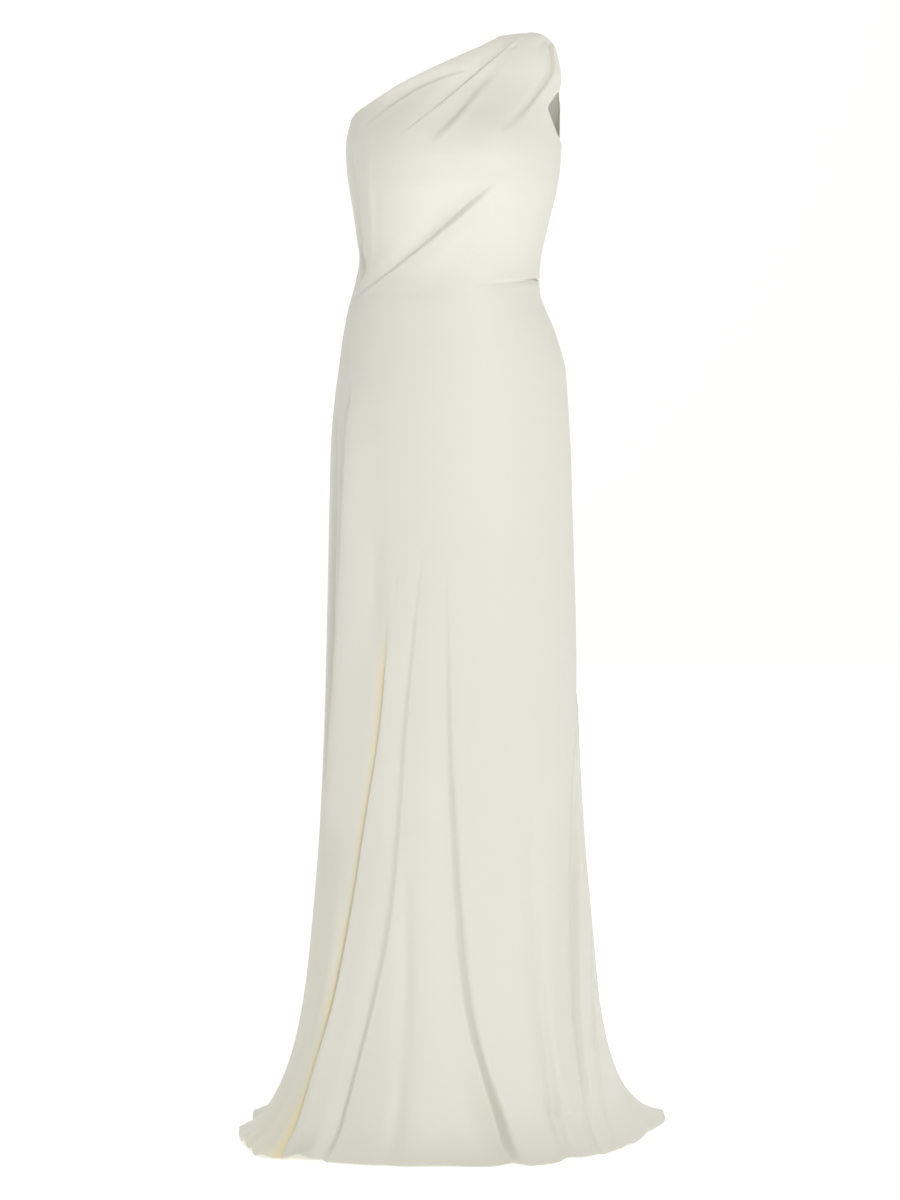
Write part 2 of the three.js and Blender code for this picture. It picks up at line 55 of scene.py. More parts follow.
# %% The gown's sizes
ORIGIN = np.array([112.0, 2.0, 1547.0])
CLOTH = 0.0009  # thickness of the satin, in metres
SHOULDER_H = 1578  # the shoulder seam, along the cloth
WAIST_H = 1183
WAIST_TILT = 12  # the waist seam is this much higher on the strap side, and lower on the bare side
BARE_SEAM = -78  # bearings of the two side seams
STRAP_SEAM = 100
HIP_SEAM_H = 1082
OPENING_TOP_H = 732  # here the seam of the opening line ends
FREE_EDGE_H = 706  # and from here down the front's edge hangs quite free
HEM_ZONE_H = 300  # below this the skirt takes on the hem's own line
UNDERARM_BARE_H = 1428
UNDERARM_STRAP_H = 1384
FULLNESS = 0.035  # how much the gown is squarer than an ellipse, on its diagonals
WALL = 2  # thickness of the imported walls
DEGREE = math.pi / 180

# %% [markdown]
# ## Smooth curves from short tables
# A worn gown has no corners between its measured heights. A cubic through the measures could swing past
# them and make a bulge that nobody measured. The slope at each measure is therefore the harmonic mean of
# the slopes on either side, or level at a peak, and such a curve never overshoots.


# %% Curves through measures
def curve_through(keys, values):
    """A function that passes through the values at the keys: between two keys it is the cubic with the
    harmonic mean slope at both ends, and outside them it keeps the end value."""
    keys = np.array(keys, float)
    values = np.array(values, float)
    span = np.diff(keys)
    rise = np.diff(values) / span
    before, after = rise[:-1], rise[1:]
    both = np.where(before + after == 0, 1, before + after)
    inner = np.where(before * after > 0, 2 * before * after / both, 0)
    slope = np.concatenate([rise[:1], inner, rise[-1:]])

    def curve(key):
        k = np.clip(key, keys[0], keys[-1])
        i = np.clip(np.searchsorted(keys, k, side="right") - 1, 0, len(span) - 1)
        t = (k - keys[i]) / span[i]
        start = (1 + 2 * t) * (1 - t) ** 2 * values[i] + t * (1 - t) ** 2 * span[i] * slope[i]
        return start + t * t * (3 - 2 * t) * values[i + 1] + t * t * (t - 1) * span[i] * slope[i + 1]

    return curve


def column_curves(names, rows):
    """One curve for each named column of a table, against its first column."""
    table = np.array(rows, float)
    return {name: curve_through(table[:, 0], table[:, i + 1]) for i, name in enumerate(names[1:])}


def step(low, high, value):
    """0 below low, 1 above high, and 3t^2 - 2t^3 between, where t is the share of the way."""
    t = np.clip((np.asarray(value, float) - low) / (high - low), 0, 1)
    return t * t * (3 - 2 * t)


def wrapped(bearing):
    """The bearing folded into -180 to 180 degrees."""
    return bearing - 360 * np.round(bearing / 360)


# %% [markdown]
# ## The form that the cloth is filled out to
# Bust, waist and hips are half widths and depths at a few heights, within a few millimetres of those of
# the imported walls. At the floor the satin bends outwards and lies down, in a short train at the back. How
# softly it bends and where it is cut change round the hem.

# %% Table of sections
SECTION_COLUMNS = ["h", "z", "bare", "strap", "front", "middle", "back"]
SECTIONS = [
    [-300, -300, 208, 236, 212, 64, 172],
    [0, 0, 206, 234, 206, 60, 168],
    [100, 100, 203, 226, 190, 48, 152],
    [200, 200, 197.5, 210.5, 173, 34, 140],
    [300, 300, 191.5, 200.5, 160, 22, 130],
    [433, 433, 182.5, 188.5, 147, 12, 124],
    [600, 600, 175.5, 179.5, 135, 5, 124],
    [740, 740, 172, 176, 127, 2, 128],
    [880, 880, 169, 171.5, 119, 0, 134],
    [965, 965, 167, 169, 115, 0, 134],
    [1035, 1035, 161.5, 165, 110, 0, 126],
    [1077, 1077, 156, 162, 106, 0, 116],
    [1105, 1105, 152.5, 155, 103, 0, 108],
    [1133, 1133, 148, 146, 99, 0, 99],
    [1161, 1161, 142.5, 134, 95, 0, 90],
    [1183, 1183, 136.5, 126.5, 92, 0, 84],
    [1203, 1203, 131.5, 125, 90, 0, 80],
    [1231, 1231, 127, 127, 93, 0, 80],
    [1265, 1265, 131, 134, 102, 0, 83],
    [1300, 1300, 136, 142.5, 115, 0, 88],
    [1330, 1330, 141, 150, 124, 0, 92],
    [1357, 1357, 144.5, 154, 125, 0, 95],
    [1385, 1385, 146, 156, 119, 0, 95],
    [1410, 1410, 142.5, 158, 108, 0, 93],
    [1441, 1441, 135, 162, 90, 0, 87],
    [1470, 1470, 150, 168, 73, 0, 76],
    [1500, 1500, 165, 172, 58, 0, 60],
    [1530, 1527, 172, 172, 41, 1, 42],
    [1550, 1541, 172, 172, 27, 2, 27],
    [1566, 1547.5, 172, 172, 12, 2, 12],
    [1574, 1549, 172, 172, 4.2, 2, 4.2],
    [1578, 1549, 172, 172, 0.25, 2, 0.25],
]
section = column_curves(SECTION_COLUMNS, SECTIONS)

# %% Table of the hem
HEM_COLUMNS = ["bearing", "softness", "end"]
HEM = [
    [-180, 40, -130],
    [-135, 36, -70],
    [-105, 32, -12],
    [-92, 40, 4],
    [-80, 43, 10],
    [-65, 42, 4],
    [-53, 47, 4],
    [-43, 34, 4],
    [-30, 27, 0],
    [-14, 22, -8],
    [0, 18, -10],
    [13, 20, -22],
    [25, 18, -20],
    [35, 18, -6],
    [55, 16, 0],
    [75, 17, 0],
    [90, 21, -4],
    [110, 33, -18],
    [131, 43, -36],
    [150, 44, -80],
    [180, 40, -130],
]
hem = column_curves(HEM_COLUMNS, HEM)


# %% The plain cloth
def shoulder_drop(x):
    """The shoulder line falls from x = 113: towards the arm by 24 (past / 37)^2.6, and towards the neck by
    4 (near / 36)^2, which stays at 4 past 36."""
    to_arm = 24 * (np.maximum(x - 113, 0) / 37) ** 2.6
    return to_arm + 4 * np.clip((113 - x) / 36, 0, 1) ** 2


def plain_cloth(bearing, h):
    """The point at a bearing and height: an ellipse with its own half axes, a little squarer on the
    diagonals. Near the floor the cloth leans out by an angle whose cosine is 1 / (1 + exp(-h / softness)),
    and that curve's height and run have a closed form."""
    bearing, h = np.broadcast_arrays(np.asarray(bearing, float), np.asarray(h, float))
    at = wrapped(bearing)
    softness = hem["softness"](at)
    lean = np.arccos(1 / (1 + np.exp(-h / softness)))
    run = softness * (lean + np.log((1 + np.sin(lean)) / np.cos(lean)))
    height = softness * np.log(1 + np.exp(h / softness))
    settle = softness * np.log(1 + np.exp(hem["end"](at) / softness)) - WALL
    sine, cosine = np.sin(at * DEGREE), np.cos(at * DEGREE)
    full = 1 + FULLNESS * (2 * sine * cosine) ** 2
    x = (np.where(sine > 0, section["strap"](h), section["bare"](h)) + run) * sine * full
    depth = np.where(cosine > 0, section["front"](h), section["back"](h)) + run
    y = section["middle"](h) - depth * cosine * full
    upper = section["z"](h) - shoulder_drop(x) * step(1440, 1545, h)
    z = np.where(h > 600, upper, height - settle * (1 - step(0, 400, h)))
    return np.stack([x, y, z], axis=-1)


def bearing_at(x, h, on_back=False):
    """The bearing where the plain cloth has this x, on the front or the back: the bracket from -90 to 90
    is halved 30 times."""
    x, h = np.broadcast_arrays(np.asarray(x, float), np.asarray(h, float))
    low, high = np.full(x.shape, -90.0), np.full(x.shape, 90.0)
    for _ in range(30):
        middle = (low + high) / 2
        bearing = 180 - middle if on_back else middle
        less = plain_cloth(bearing, h)[..., 0] < x
        low, high = np.where(less, middle, low), np.where(less, high, middle)
    found = (low + high) / 2
    return 180 - found if on_back else found


for place, at_h in {"waist": 1203, "bust": 1385, "hip": 900}.items():
    print(place, "width:", round(float(section["bare"](at_h) + section["strap"](at_h))))

# %% [markdown]
# ## Folds
# Satin folds in two ways here. Some folds are soft troughs between two rounded ridges, as in the skirt.
# Others are laps: one layer lies over the other along a crisp edge, as at the pleats of the shoulder and
# the drape over the waist. A simulation would drape such a cloth somewhere, but not where the dressmaker
# pinned it, so each fold is a row in a table, with four points that it passes.
# Its depth is given at each of them, and its half width at the first and the last. lean is over 1 where
# the bare side slopes gently and the strap side steeply. lap is the height of the layer on top as a share
# of the depth, positive where that layer comes from the strap side, edge is the half width of the step
# between the two layers, and crease is the depth of the sharp groove where they meet, as such a share.
# A fold with negative depths is a ridge. One that ends near the floor runs on over the hem.

# %% Table of the front's folds
FOLD_COLUMNS = [
    "name", "x0", "h0", "x1", "h1", "x2", "h2", "x3", "h3",
    "depth0", "depth1", "depth2", "depth3", "width0", "width3", "lean", "lap", "edge0", "edge3", "crease",
]
FRONT_FOLDS = [
    ["neck_pleat", 112, 1570, 65, 1512, 7, 1455, -57, 1394, 5, 5, 4.5, 0.3, 9, 9, 1.5, 0.3, 0.8, 1.5, 1],
    ["neck_crease", 26, 1489, -20, 1471, -60, 1448, -106, 1415, 0.2, 3, 4.5, 1, 7, 10, 1.4, 0.15, 3, 6, 0.15],
    ["bust_trough", 66, 1488, 40, 1455, 10, 1415, -23, 1376, 0.3, 4.5, 8, 0.2, 13, 15, 1.6, 0.25, 8, 7, 0],
    ["arm_drape", 143, 1556, 142, 1490, 113, 1440, 80, 1400, 6, 7, 5.5, 1, 9, 13, 0.8, 0.3, 3, 6, 0.2],
    ["shoulder_gather", 140, 1560, 132, 1545, 126, 1532, 121, 1520, 4, 3, 2, 0.5, 6, 7, 1, 0, 1, 1, 0],
    ["shoulder_nick", 93, 1531, 88, 1527, 83, 1524, 77, 1521, 0.3, 1.8, 1.2, 0.2, 3, 3, 1, 0, 1, 1, 0],
    ["waist_drape", -136, 1172, -78, 1211, 0, 1270, 62, 1326, 1, 4, 9, 0.3, 9, 17, 1.4, 0.15, 1.2, 6, 0.6],
    ["drape_echo", -34, 1240, -22, 1266, -12, 1292, -4, 1316, 0.5, 1.5, 1.2, 0.3, 10, 12, 1, 0, 1, 1, 0],
    ["drape_under", -60, 1200, -16, 1232, 26, 1268, 60, 1296, -0.5, -2, -2, -0.5, 12, 14, 1, 0, 1, 1, 0],
    ["belly_pull", -88, 1140, -36, 1120, 26, 1112, 86, 1126, 0.3, 1.1, 1.1, 0.3, 18, 20, 1, 0, 1, 1, 0],
    ["waist_pinch", 128, 1206, 105, 1199, 80, 1194, 42, 1189, 9, 5, 2, 0.5, 6, 7, 1, -0.2, 1.5, 3, 0],
    ["waist_shade", -82, 1170, -60, 1174, -36, 1176, -14, 1178, 0.3, 0.9, 0.9, 0.3, 7, 7, 1, 0, 1, 1, 0],
    ["side_turn", -137, 1372, -131, 1320, -126, 1260, -122, 1215, 3, 4, 5, 6, 12, 12, 1, 0, 1, 1, 0],
    ["side_corner", -110, 1372, -109, 1320, -107, 1262, -110, 1216,
     -0.5, -1.5, -1.5, -0.5, 11, 12, 1.6, 0, 1, 1, 0],
    ["bust_bare_side", -62, 1385, -62, 1370, -60, 1345, -56, 1320, -6, -6, -6, -6, 48, 48, 1, 0, 1, 1, 0],
    ["bust_strap_side", 76, 1380, 76, 1365, 74, 1345, 70, 1320, -6, -6, -6, -6, 48, 48, 1, 0, 1, 1, 0],
    ["hip_shadow", -132, 1027, -108, 1006, -84, 985, -57, 963, 1, 1.4, 1, 0.2, 10, 8, 1, 0, 1, 1, 0],
    ["hip_groove", -158, 1000, -161, 860, -165, 700, -174, 520, 3, 5, 6, 7, 9, 12, 1, 0, 1, 1, 0],
    ["hip_ridge", -138, 1010, -142, 860, -148, 700, -166, 470, -5, -11, -12, -9, 13, 15, 0.5, 0, 1, 1, 0],
    ["thigh_dip", -103, 850, -103, 800, -104, 750, -105, 690, 0.5, 2.5, 3, 1, 10, 12, 1, 0, 1, 1, 0],
    ["thigh_line", -73, 788, -74, 778, -76, 764, -77, 750, 0.2, 0.8, 0.8, 0.2, 3, 3, 1, 0, 1, 1, 0],
    ["left_fold", -38, 810, -60, 600, -86, 310, -152, 50, 0.5, 3, 5, 13, 5, 12, 1.6, 0.06, 2.5, 7, 0.08],
    ["middle_dip", -64, 410, -61, 340, -61, 240, -66, 130, 0.5, 3, 5, 4, 7, 12, 1, 0, 1, 1, 0],
    ["main_fold", -4, 760, 3, 500, 27, 205, 84, 20, 0.5, 6, 14, 28, 9, 19, 2, 0.05, 3.5, 9, 0.05],
    ["right_dip", 112, 580, 111, 420, 127, 235, 150, 60, 0.5, 5, 9, 13, 9, 13, 1.3, 0, 1, 1, 0],
    ["strap_ridge", 172, 560, 175, 400, 177, 250, 186, 60, -1, -2, -3, -4, 10, 14, 1, 0, 1, 1, 0],
    ["side_groove", 180, 600, 179, 400, 178, 200, 190, 55, 2, 13, 16, 8, 24, 22, 2.6, 0.12, 2, 3, 0.15],
    ["side_groove_2", 196, 300, 199, 220, 204, 140, 214, 62, 0.3, 3, 4, 3, 5, 7, 1.2, 0.2, 1, 2, 0.3],
    ["floor_fold", 134, 74, 147, 62, 161, 56, 177, 60, 0.3, 5, 5, 0.3, 5, 6, 1.4, 0, 1, 1, 0],
]

# %% Table of the back's folds
BACK_FOLDS = [
    ["back_pleat", 112, 1570, 70, 1512, 20, 1450, -40, 1380, 5, 4, 3, 0.5, 8, 10, 1, 0.4, 1, 2, 0],
    ["back_pleat_low", 138, 1560, 128, 1490, 100, 1420, 60, 1350, 5, 4, 3, 0.5, 9, 12, 1, 0.35, 2, 5, 0],
    ["back_crease", 30, 1490, -10, 1468, -50, 1440, -92, 1408, 0.3, 2, 3, 1, 6, 7, 1, 0.2, 2, 3, 0],
    ["back_drape", -134, 1176, -80, 1215, -10, 1262, 50, 1305, 5, 4, 4, 0.5, 8, 14, 1.2, -0.4, 1.5, 5, 0],
    ["back_waist_pinch", 126, 1204, 105, 1199, 80, 1194, 48, 1190, 6, 4, 2, 0.5, 6, 7, 1, -0.2, 1.5, 3, 0],
    ["strap_hollow", 176, 560, 180, 400, 188, 200, 215, 20, 3, 10, 18, 26, 14, 26, 1, 0, 1, 1, 0],
    ["strap_hollow_low", 168, 300, 172, 220, 190, 100, 222, -40, 1, 6, 10, 14, 10, 18, 1, 0, 1, 1, 0],
    ["train_fold_1", 96, 700, 104, 500, 120, 240, 160, -60, 1, 12, 23, 34, 12, 32, 1.2, 0, 1, 1, 0],
    ["train_fold_2", 36, 640, 38, 460, 44, 220, 64, -100, 1, 14, 27, 40, 12, 34, 1, 0, 1, 1, 0],
    ["train_fold_3", -28, 720, -30, 500, -36, 220, -50, -100, 1, 15, 29, 42, 12, 34, 0.9, 0, 1, 1, 0],
    ["train_fold_4", -92, 660, -98, 460, -114, 220, -150, -60, 1, 13, 25, 36, 12, 32, 0.8, 0, 1, 1, 0],
    ["bare_hollow", -152, 600, -160, 420, -180, 220, -232, 10, 1, 10, 18, 26, 14, 28, 1, 0, 1, 1, 0],
]


# %% The folds as paths
PATH_STEPS = 24
NEAR_FLOOR_H = 150  # a fold that ends below this runs on over the hem


def through_four(values, share):
    """The Catmull-Rom curve through four values at the shares 0, 1, 2 and 3: on each stretch the slope at
    an end is half the difference of its two neighbours, with one more value added in line at each end."""
    v = np.concatenate([[2 * values[0] - values[1]], values, [2 * values[3] - values[2]]])
    i = np.minimum(share.astype(int), 2)
    t = share - i
    a, b, c, d = v[i], v[i + 1], v[i + 2], v[i + 3]
    return b + t * (c - a) / 2 + t * t * (a - 2.5 * b + 2 * c - d / 2) + t**3 * (1.5 * (b - c) + (d - a) / 2)


def fold_path(row, on_back):
    """A fold row as PATH_STEPS short steps along a smooth curve of x and h, where each x is turned into a
    bearing at its own height. The depths are joined by a smooth curve too, and the widths and edges
    evenly."""
    fold = dict(zip(FOLD_COLUMNS, row))
    share = np.linspace(0, 3, PATH_STEPS + 1)
    four = lambda key: np.array([fold[f"{key}{i}"] for i in range(4)], float)
    fold["h"] = through_four(four("h"), share)
    fold["bearing"] = np.unwrap(bearing_at(through_four(four("x"), share), fold["h"], on_back), period=360)
    fold["depth"] = curve_through(range(4), four("depth"))(share)
    fold["width"] = fold["width0"] + (fold["width3"] - fold["width0"]) * share / 3
    fold["edge"] = fold["edge0"] + (fold["edge3"] - fold["edge0"]) * share / 3
    return fold


folds = {row[0]: fold_path(row, False) for row in FRONT_FOLDS}
folds.update({row[0]: fold_path(row, True) for row in BACK_FOLDS})
print(len(folds), "folds")


# %% How far the folds push the cloth in
SLIDE_REACH = 6
CREASE_HALF_WIDTH = 2
FOLD_RADIUS = 150  # the radius that the folds' widths are laid round, and what the hem adds to it
HEM_ADDS = 110


def one_fold(fold, across, along, girth):
    """The push of one fold. The distance d to the nearest of its steps gives a trough of the shape
    exp(-(d / half width)^2), and the turn from the step to the point, their cross product, says on which
    side it is. Where the fold has a lap, the cloth on the side of the layer on top rises by that share of
    the depth instead, slides over the fold by as much within 6 mm of it, and a smooth step joins the two
    sides. The crease adds a groove where the layers meet. The result is the push and the slide across and
    along."""
    middle = fold["bearing"].mean()
    a_across = (fold["bearing"][:-1] - middle) * girth[:, None]
    step_across = np.diff(fold["bearing"]) * girth[:, None]
    a_along, step_along = fold["h"][:-1], np.diff(fold["h"])
    to_across = across[:, None] - a_across
    to_along = along[:, None] - a_along
    share = (to_across * step_across + to_along * step_along) / (step_across**2 + step_along**2)
    runs_out = (np.arange(PATH_STEPS) == PATH_STEPS - 1) & (fold["h"][-1] < NEAR_FLOOR_H)
    share = np.clip(share, 0, np.where(runs_out, np.inf, 1))
    d_across = to_across - step_across * share
    d_along = to_along - step_along * share
    distance2_all = d_across**2 + d_along**2
    nearest = distance2_all.argmin(axis=1)[:, None]
    picked = lambda values: np.take_along_axis(np.broadcast_to(values, distance2_all.shape), nearest, 1)[:, 0]
    turn = np.sign(step_along) * (step_along * d_across - step_across * d_along)
    distance2, side, share = picked(distance2_all), picked(turn), np.minimum(picked(share), 1)
    i = nearest[:, 0]
    there = lambda key: fold[key][i] + (fold[key][i + 1] - fold[key][i]) * share
    depth, half, edge = there("depth"), there("width"), there("edge")
    half = np.where(side > 0, half / fold["lean"], half * fold["lean"])
    trough = np.exp(-distance2 / half**2)
    if not fold["lap"]:
        return depth * trough, 0 * across, 0 * across
    on_top = step(-1, 1, np.sqrt(distance2) / edge * np.sign(side * fold["lap"]))
    run_across, run_along = picked(step_across), picked(step_along)
    slide = -abs(fold["lap"]) * depth * on_top * np.exp(-distance2 / SLIDE_REACH**2)
    slide *= np.sign(fold["lap"] * run_along)
    slide /= np.hypot(run_across, run_along)
    groove = fold["crease"] * np.exp(-distance2 / CREASE_HALF_WIDTH**2)
    push = depth * (trough * (1 - on_top - abs(fold["lap"]) * on_top) + groove)
    return push, slide * run_along, -slide * run_across


def fold_push(bearing, h):
    """The pushes and slides of all the folds, added. Each is worked out only for the cloth within reach of
    it, with widths laid round the gown by a radius that grows towards the hem. The slides come back as a
    bearing and a height."""
    moved = np.zeros((3, *bearing.shape))
    girth = DEGREE * (FOLD_RADIUS + HEM_ADDS * (1 - step(0, HEM_ZONE_H, h)))
    for fold in folds.values():
        reach = 3 * max(fold["width0"], fold["width3"]) * max(fold["lean"], 1 / fold["lean"])
        across = wrapped(bearing - fold["bearing"].mean()) * girth
        half_span = (fold["bearing"].max() - fold["bearing"].min()) / 2 * girth
        low = -np.inf if fold["h"][-1] < NEAR_FLOOR_H else fold["h"].min() - reach
        near = (h > low) & (h < fold["h"].max() + reach) & (np.abs(across) < 2.2 * half_span + 2 * reach)
        moved[:, near] += one_fold(fold, across[near], h[near], girth[near])
    push, slide, rise = moved * (1 - step(SHOULDER_H - 16, SHOULDER_H, h))
    return push, slide / girth, rise


# %% [markdown]
# ## The opening and the free edges
# The opening line runs from the hip seam down the bare side to the hem. Above the thigh it is a seam.
# Below it, the front's edge hangs free and rolls out a little, and the side panel lies behind it and runs
# on under it. The tables give the line's x, how far the panel lies back, how many degrees it runs on, and
# how far the front's edge lifts. The necklines and armholes are free edges too, each given by its x at a
# few heights.

# %% Tables of the opening and the edges
OPENING_COLUMNS = ["h", "x", "recess", "underlap", "lift"]
OPENING = [
    [-40, -236, 8, 6, 8],
    [25, -222, 9, 6, 8],
    [58, -209, 14, 6, 8],
    [96, -197, 18, 6, 8],
    [136, -185, 21, 6, 7],
    [229, -156, 22, 6, 6],
    [349, -131, 19, 6, 5],
    [454, -115, 17, 6, 4],
    [577, -96, 14, 5, 3],
    [640, -90, 12, 4, 3],
    [706, -86, 5, 0, 2],
    [OPENING_TOP_H, -86, 0, 0, 0],
    [900, -98, 0, 0, 0],
    [1082, -111, 0, 0, 0],
    [1200, -117, 0, 0, 0],
]
opening = column_curves(OPENING_COLUMNS, OPENING)
NECKLINE = [
    [1441, -114], [1455, -89], [1470, -65], [1485, -37], [1500, -9],
    [1515, 17], [1530, 41], [1550, 62], [1578, 77],
]
NECKLINE_BACK = [
    [1441, -104], [1455, -78], [1470, -52], [1485, -24], [1500, 4],
    [1515, 29], [1530, 51], [1550, 67], [1578, 77],
]
ARMHOLE_FRONT = [
    [1390, 154.5], [1398, 150], [1408, 145], [1420, 140], [1434, 136], [1450, 144],
    [1469, 153], [1500, 155], [1530, 154], [1550, 149], [1578, 143],
]
ARMHOLE_BACK = [
    [1400, 155], [1441, 156], [1470, 155], [1500, 154], [1530, 153], [1550, 149], [1578, 143],
]


# %% Table of the hem's curls
CURL_FADE = 16
CURLS = [  # the bearing, the half width in degrees and the height of each
    [-97, 3, 5], [-86, 2.6, 9], [-77, 2.2, 4], [-69, 2.6, 9], [-60, 2.4, 6], [-52, 2, 4], [-44, 2.2, 6],
    [62, 3, 3], [84, 4, 3], [118, 4, 5], [141, 5, 6], [168, 5, 5], [196, 5, 6], [222, 5, 5], [243, 4, 5],
]


def hem_curl(bearing, h):
    """How far the hem's curls lift the cloth: each is a bump of the shape exp(-(d / half width)^2) round
    the hem, which fades by exp(-(d / CURL_FADE)^2) above it."""
    above = h - hem["end"](wrapped(bearing))
    lift = np.zeros(bearing.shape)
    for place, half_width, height in CURLS:
        lift += height * np.exp(-((wrapped(bearing - place) / half_width) ** 2))
    return lift * np.exp(-((above / CURL_FADE) ** 2))


# %% Lines on the cloth
def waist_seam(bearing):
    """The waist seam's height: its tilt times the sine of the bearing, above its middle height."""
    return WAIST_H + WAIST_TILT * np.sin(bearing * DEGREE)


def opening_bearing(h):
    """The bearing of the opening line at a height."""
    return bearing_at(opening["x"](h), h)


def fold_line(name):
    """A fold's bearing at each height, for the grid's columns that run along it."""
    fold = folds[name]
    order = np.argsort(fold["h"])
    return curve_through(fold["h"][order], fold["bearing"][order])


def bodice_edge(seam, underarm, edge, on_back):
    """The bearing of a bodice edge at each height: the side seam up to the underarm, then the free edge."""
    edge = np.array(edge, float)
    turned = bearing_at(edge[:, 1], edge[:, 0], on_back)
    keys = np.concatenate([[0, underarm], edge[:, 0]])
    return curve_through(keys, np.concatenate([[seam, seam], turned]))


# %% [markdown]
# ## Cloth as a grid
# Each piece is one grid of places, with rows along the hem or the waist and columns that run down along
# its main folds, so that a fold's edge stays smooth. The points come from whole arrays at once. Solidify
# then gives the cloth its thickness on the inside. Each piece also gets a UV map in metres, measured along
# the cloth, so the weave follows it round every fold, and an attribute for painted shade: where the satin's
# colour is painted warmer to stand in for light bounced between layers, behind the opening's free edge and
# low on the side panel.


# %% From a grid to a mesh
CROWDING = 0.08


def columns_between(lines, counts):
    """Bearings of the columns, where lines are the bearings of the guide lines on each row and counts the
    columns between them. Between two lines the share t becomes t - CROWDING sin(2 pi t), so that the
    columns crowd beside the lines."""
    made = []
    for i, count in enumerate(counts):
        t = np.arange(count + (i == len(counts) - 1)) / count
        crowded = t - CROWDING * np.sin(2 * np.pi * t)
        made.append(lines[i][:, None] + (lines[i + 1] - lines[i])[:, None] * crowded)
    return np.concatenate(made, axis=1)


def cloth_points(bearing, h, own_push):
    """The plain cloth, pushed in along its normal by the folds and by the piece's own shape, and lifted by
    the hem's curls. The normal is the cross product of two small steps, and it is level below h = 1200, so
    no fold sinks into the floor."""
    around = plain_cloth(bearing + 0.2, h) - plain_cloth(bearing - 0.2, h)
    up = plain_cloth(bearing, h + 1) - plain_cloth(bearing, h - 1)
    out = np.cross(around, up)
    out /= np.linalg.norm(out, axis=-1, keepdims=True)
    out[..., 2] *= step(1200, 1300, h)
    out /= np.linalg.norm(out, axis=-1, keepdims=True)
    push, slide, rise = fold_push(bearing, h)
    points = plain_cloth(bearing + slide, h + rise) - out * (push + own_push)[..., None]
    points[..., 2] += hem_curl(bearing, h)
    return points, push


def all_cells(bearing):
    """A mask that keeps every cell of a grid."""
    return np.ones((bearing.shape[0] - 1, bearing.shape[1] - 1), bool)


def cloth_piece(name, bearing, h, own_push, covers, painted_warm_shade):
    """A mesh object from the grid, with the cells that covers keeps, Solidify and its UV map. The border's
    edges are sharp, so the cut edge doesn't darken the cloth beside it."""
    points, push = cloth_points(bearing, h, own_push)
    rows, columns = bearing.shape
    index = np.arange(rows * columns).reshape(rows, columns)
    quads = np.stack([index[:-1, :-1], index[:-1, 1:], index[1:, 1:], index[1:, :-1]], axis=-1)[covers]
    kept, quads = np.unique(quads, return_inverse=True)
    quads = quads.reshape(-1, 4)
    mesh = bpy.data.meshes.new(name)
    mesh.from_pydata(((points.reshape(-1, 3)[kept] - ORIGIN) / 1000).tolist(), [], quads.tolist())
    lengths = np.linalg.norm(np.diff(points, axis=1), axis=-1)
    u = np.concatenate([np.zeros((rows, 1)), np.cumsum(lengths, axis=1)], axis=1)
    u -= u[:, columns // 2 : columns // 2 + 1]
    uv = np.stack([u / 1000, h / 1000], axis=-1).reshape(-1, 2)[kept]
    mesh.uv_layers.new(name="cloth").data.foreach_set("uv", uv[quads.ravel()].ravel())
    # Painted shade: this attribute says where the satin's colour is painted warmer to stand in for light
    # bounced between layers and the shade behind the front's edge.
    shade = mesh.attributes.new("painted_shade_warmth", "FLOAT", "POINT")
    shade.data.foreach_set("value", (painted_warm_shade + 0 * h).reshape(-1)[kept])
    mesh.polygons.foreach_set("use_smooth", np.ones(len(quads), bool))
    edge_of_corner = np.empty(len(mesh.loops), int)
    mesh.loops.foreach_get("edge_index", edge_of_corner)
    at_border = np.bincount(edge_of_corner, minlength=len(mesh.edges)) == 1
    mesh.edges.foreach_set("use_edge_sharp", at_border)
    mesh.update()
    piece = bpy.data.objects.new(name, mesh)
    bpy.context.scene.collection.objects.link(piece)
    thick = piece.modifiers.new("thickness", "SOLIDIFY")
    thick.thickness = CLOTH
    thick.offset = -1
    thick.use_even_offset = False
    print(f"{name}: {len(quads)} cells, deepest push {push.max():.0f} mm")
    return piece


WAIST_SEAM_SHARE = 0.4  # the waist seam and the closed part of the opening line are pressed flatter
LINE_SEAM_SHARE = 0.3


def seam_dimple(distance):
    """A sewn and pressed seam draws the cloth in by 0.15 mm, over a half width of 2.4 mm."""
    return 0.15 * np.exp(-((distance / 2.4) ** 2))


def turned_edge(distance):
    """A turned edge is rounded: it drops by 0.8 mm, most of it within the last 2 mm."""
    return 0.8 * np.exp(-((distance / 2) ** 2))


def across_from(bearing, line, h):
    """Millimetres round the gown from a line's bearing, by the front's depth at that height."""
    return (bearing - line) * DEGREE * section["front"](h)


# %% [markdown]
# ## The bodice
# The one-shoulder front and back are cut with the strap. Their pleats start at the shoulder seam and fan
# out over the bust. The rows are evenly spaced, and near the waist they tilt with the waist seam.


# %% The bodice's two pieces
SLIM_H = 1470  # above this the bodice gets too slim to measure across it by its depth


def bodice_grid(from_edge, to_edge, pleat, counts, rows):
    """Bearings and heights of a bodice piece. The guide line goes from the middle of the piece at the waist
    to the pleat above h = 1400."""
    level = WAIST_H + (SHOULDER_H - WAIST_H) * np.linspace(0, 1, rows)
    left, right = from_edge(level), to_edge(level)
    line = (left + right) / 2
    line = line + (fold_line(pleat)(level) - line) * step(1250, 1400, level)
    bearing = columns_between([left, line, right], counts)
    rise = (waist_seam(bearing) - WAIST_H) * (1 - np.linspace(0, 1, rows)[:, None]) ** 2
    h = level[:, None] + rise
    return bearing, h


